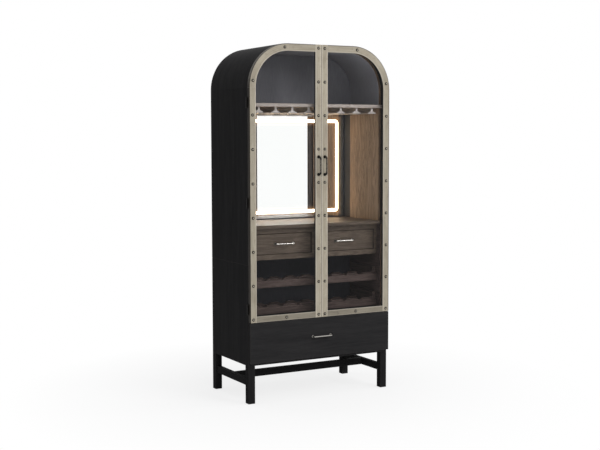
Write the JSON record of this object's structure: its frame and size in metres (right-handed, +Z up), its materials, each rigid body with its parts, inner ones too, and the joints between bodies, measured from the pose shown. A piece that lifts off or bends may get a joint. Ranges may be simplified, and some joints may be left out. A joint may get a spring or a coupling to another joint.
{
  "type": "bar armoire",
  "caption": "Tall arched bar armoire on a leg stand, with riveted glass doors, a lit mirror back, stemware rails, inner drawers, bottle racks and a base drawer.",
  "frame": {"origin": "on the floor, under the middle of the whole object with its handles", "axes": "+X to the right seen from the front, +Y to the back, +Z up"},
  "size_m": [1.035, 0.59, 2.232],
  "materials": {
    "black_lacquer": "black satin lacquer",
    "back_board": "black stained board",
    "charcoal_board": "charcoal painted board",
    "brown_veneer": "dark brown grey oak veneer",
    "drawer_wood": "clear lacquered wood",
    "aged_pewter": "aged pewter sheet",
    "dark_pewter": "dark antique pewter",
    "nickel_pull": "antique nickel",
    "black_iron": "black painted steel",
    "clear_glass": "clear float glass",
    "silvered_mirror": "silvered mirror",
    "light_diffuser": "lit frosted band",
    "black_plastic": "moulded black plastic"
  },
  "bodies": {
    "case": {"side_upper_left": "black_lacquer", "side_upper_right": "black_lacquer", "side_lower_left": "black_lacquer", "side_lower_right": "black_lacquer", "shoulder_left": "black_lacquer", "shoulder_right": "black_lacquer", "top_panel": "black_lacquer", "bottom_board": "black_lacquer", "back_panel": "back_board", "front_legs": "black_lacquer", "back_legs": "black_lacquer", "glides": "black_plastic", "stretcher_left": "black_lacquer", "stretcher_right": "black_lacquer", "stretcher_middle": "black_lacquer", "deck": "black_lacquer", "cheeks": "brown_veneer", "rack_back": "charcoal_board", "rack_rails": "brown_veneer", "rack_ends": "brown_veneer", "rack_cradles": "brown_veneer", "drawer_deck": "brown_veneer", "drawer_divider": "brown_veneer", "counter": "brown_veneer", "linings": "brown_veneer", "bar_back": "charcoal_board", "mirror": "silvered_mirror", "light_band": "light_diffuser", "light_driver": "black_plastic", "cable_grommet": "black_plastic", "shelf": "brown_veneer", "stem_rails": "brown_veneer", "top_back": "charcoal_board", "base_runners": "drawer_wood", "door_catches": "black_plastic", "hinge_case_leaves": "black_iron", "hinge_pins": "black_iron"},
    "door_left": {"door_core_left": "black_lacquer", "door_facing_left": "aged_pewter", "door_rivets_left": "aged_pewter", "door_glass_left": "clear_glass", "glass_stops_left": "black_lacquer", "door_handle_left": "dark_pewter", "hinge_door_leaves_left": "black_iron"},
    "inner_drawer_left": {"inner_drawer_front_left": "brown_veneer", "inner_drawer_box_left": "drawer_wood", "inner_drawer_pull_left": "nickel_pull"},
    "door_right": {"door_core_right": "black_lacquer", "door_facing_right": "aged_pewter", "door_rivets_right": "aged_pewter", "door_glass_right": "clear_glass", "glass_stops_right": "black_lacquer", "door_handle_right": "dark_pewter", "hinge_door_leaves_right": "black_iron"},
    "inner_drawer_right": {"inner_drawer_front_right": "brown_veneer", "inner_drawer_box_right": "drawer_wood", "inner_drawer_pull_right": "nickel_pull"},
    "base_drawer": {"base_drawer_front": "black_lacquer", "base_drawer_box": "drawer_wood", "base_drawer_pull": "nickel_pull"}
  },
  "joints": [
    {"name": "door_left_hinge", "type": "hinge", "parent": "case", "child": "door_left", "pos_m": [-0.513, -0.2395, 0.514], "axis": [0, 0, -1], "range_deg": [0, 120]},
    {"name": "door_right_hinge", "type": "hinge", "parent": "case", "child": "door_right", "pos_m": [0.513, -0.2395, 0.514], "axis": [0, 0, 1], "range_deg": [0, 120]},
    {"name": "base_drawer_slide", "type": "slide", "parent": "case", "child": "base_drawer", "axis": [0, -1, 0], "range_m": [0, 0.38]},
    {"name": "inner_drawer_left_slide", "type": "slide", "parent": "case", "child": "inner_drawer_left", "axis": [0, -1, 0], "range_m": [0, 0.26]},
    {"name": "inner_drawer_right_slide", "type": "slide", "parent": "case", "child": "inner_drawer_right", "axis": [0, -1, 0], "range_m": [0, 0.26]}
  ],
  "couplings": [
    {"joint": "inner_drawer_left_slide", "follows": "door_left_hinge", "m_per_rad": 0.12},
    {"joint": "inner_drawer_right_slide", "follows": "door_right_hinge", "m_per_rad": 0.12}
  ]
}
